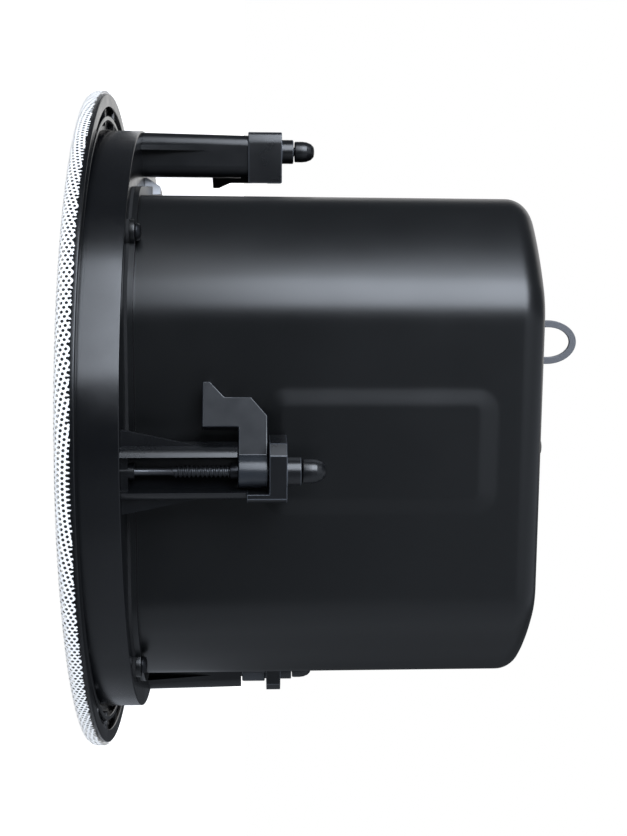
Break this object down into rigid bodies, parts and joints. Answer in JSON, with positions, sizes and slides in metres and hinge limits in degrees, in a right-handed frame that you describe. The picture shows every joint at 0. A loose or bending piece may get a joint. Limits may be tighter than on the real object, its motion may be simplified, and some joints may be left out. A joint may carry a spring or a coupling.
{
  "type": "in-ceiling loudspeaker",
  "caption": "Round in-ceiling loudspeaker with perforated white grille, ribbed black baffle, flatted back can and swing-out ceiling clamps.",
  "frame": {"origin": "centre of the grille's front face", "axes": "+Z from the grille along the axis to the rear of the back can, +X and +Y towards two of the clamps"},
  "size_m": [0.25, 0.25, 0.1739],
  "materials": {
    "white_grille": "white powder coat on perforated steel",
    "black_abs": "moulded black ABS, satin",
    "can_paint": "black satin paint on drawn steel",
    "black_foam": "closed-cell foam",
    "black_steel": "black oxide screw",
    "zinc_steel": "zinc plated sheet",
    "dog_nylon": "glass-filled nylon, dark grey",
    "dark_screw_steel": "dark plated screw",
    "grey_nylon": "moulded nylon",
    "frame_paint": "black stamped frame",
    "butyl": "moulded rubber",
    "cone_paper": "black pressed paper pulp",
    "copper": "enamelled copper wire",
    "spider_cloth": "impregnated cotton",
    "plate_steel": "zinc plated steel",
    "ferrite": "sintered ferrite",
    "dome_film": "polymer dome",
    "board_laminate": "green laminate",
    "capacitor_film": "film capacitor"
  },
  "bodies": {
    "body": {"grille": "white_grille", "baffle": "black_abs", "back_can": "can_paint", "can_gasket": "black_foam", "can_screws": "black_steel", "can_webs": "zinc_steel", "safety_eye": "zinc_steel", "eye_rivets": "zinc_steel", "wiring_cover": "black_abs", "cover_screws": "black_steel", "terminal_block": "grey_nylon", "woofer_basket": "frame_paint", "woofer_gasket": "black_foam", "woofer_screws": "black_steel", "woofer_surround": "butyl", "spider": "spider_cloth", "spider_seat": "frame_paint", "top_plate": "plate_steel", "magnet": "ferrite", "yoke": "plate_steel", "tweeter_post": "plate_steel", "tweeter_body": "black_abs", "tweeter_dome": "dome_film", "transformer_core": "plate_steel", "transformer_winding": "copper", "crossover_board": "board_laminate", "board_posts": "grey_nylon", "inductor": "copper", "capacitors": "capacitor_film", "clamp_channel_1": "black_abs", "clamp_channel_2": "black_abs", "clamp_channel_3": "black_abs", "clamp_channel_4": "black_abs", "channel_cap_1": "black_abs", "channel_cap_2": "black_abs", "channel_cap_3": "black_abs", "channel_cap_4": "black_abs"},
    "cone": {"woofer_cone": "cone_paper", "voice_coil": "copper"},
    "screw_1": {"clamp_screw_1": "dark_screw_steel", "screw_tip_1": "black_abs"},
    "dog_1": {"clamp_dog_1": "dog_nylon", "dog_nut_1": "dark_screw_steel"},
    "screw_2": {"clamp_screw_2": "dark_screw_steel", "screw_tip_2": "black_abs"},
    "dog_2": {"clamp_dog_2": "dog_nylon", "dog_nut_2": "dark_screw_steel"},
    "screw_3": {"clamp_screw_3": "dark_screw_steel", "screw_tip_3": "black_abs"},
    "dog_3": {"clamp_dog_3": "dog_nylon", "dog_nut_3": "dark_screw_steel"},
    "screw_4": {"clamp_screw_4": "dark_screw_steel", "screw_tip_4": "black_abs"},
    "dog_4": {"clamp_dog_4": "dog_nylon", "dog_nut_4": "dark_screw_steel"}
  },
  "joints": [
    {"name": "cone_travel", "type": "slide", "parent": "body", "child": "cone", "axis": [0, 0, 1], "range_m": [-0.004, 0.004], "stiffness_N_per_m": 2000, "deforming": ["woofer_surround", "spider"]},
    {"name": "screw_1_turn", "type": "hinge", "parent": "body", "child": "screw_1", "pos_m": [0.1032, 0, 0.04], "axis": [0, 0, 1], "continuous": true},
    {"name": "dog_1_swing", "type": "hinge", "parent": "body", "child": "dog_1", "pos_m": [0.1032, 0, 0.06], "axis": [0, 0, 1], "range_deg": [0, 113.5]},
    {"name": "screw_2_turn", "type": "hinge", "parent": "body", "child": "screw_2", "pos_m": [0, 0.1032, 0.04], "axis": [0, 0, 1], "continuous": true},
    {"name": "dog_2_swing", "type": "hinge", "parent": "body", "child": "dog_2", "pos_m": [0, 0.1032, 0.06], "axis": [0, 0, 1], "range_deg": [0, 113.5]},
    {"name": "screw_3_turn", "type": "hinge", "parent": "body", "child": "screw_3", "pos_m": [-0.1032, 0, 0.04], "axis": [0, 0, 1], "continuous": true},
    {"name": "dog_3_swing", "type": "hinge", "parent": "body", "child": "dog_3", "pos_m": [-0.1032, 0, 0.06], "axis": [0, 0, 1], "range_deg": [0, 113.5]},
    {"name": "screw_4_turn", "type": "hinge", "parent": "body", "child": "screw_4", "pos_m": [0, -0.1032, 0.04], "axis": [0, 0, 1], "continuous": true},
    {"name": "dog_4_swing", "type": "hinge", "parent": "body", "child": "dog_4", "pos_m": [0, -0.1032, 0.06], "axis": [0, 0, 1], "range_deg": [0, 113.5]}
  ]
}
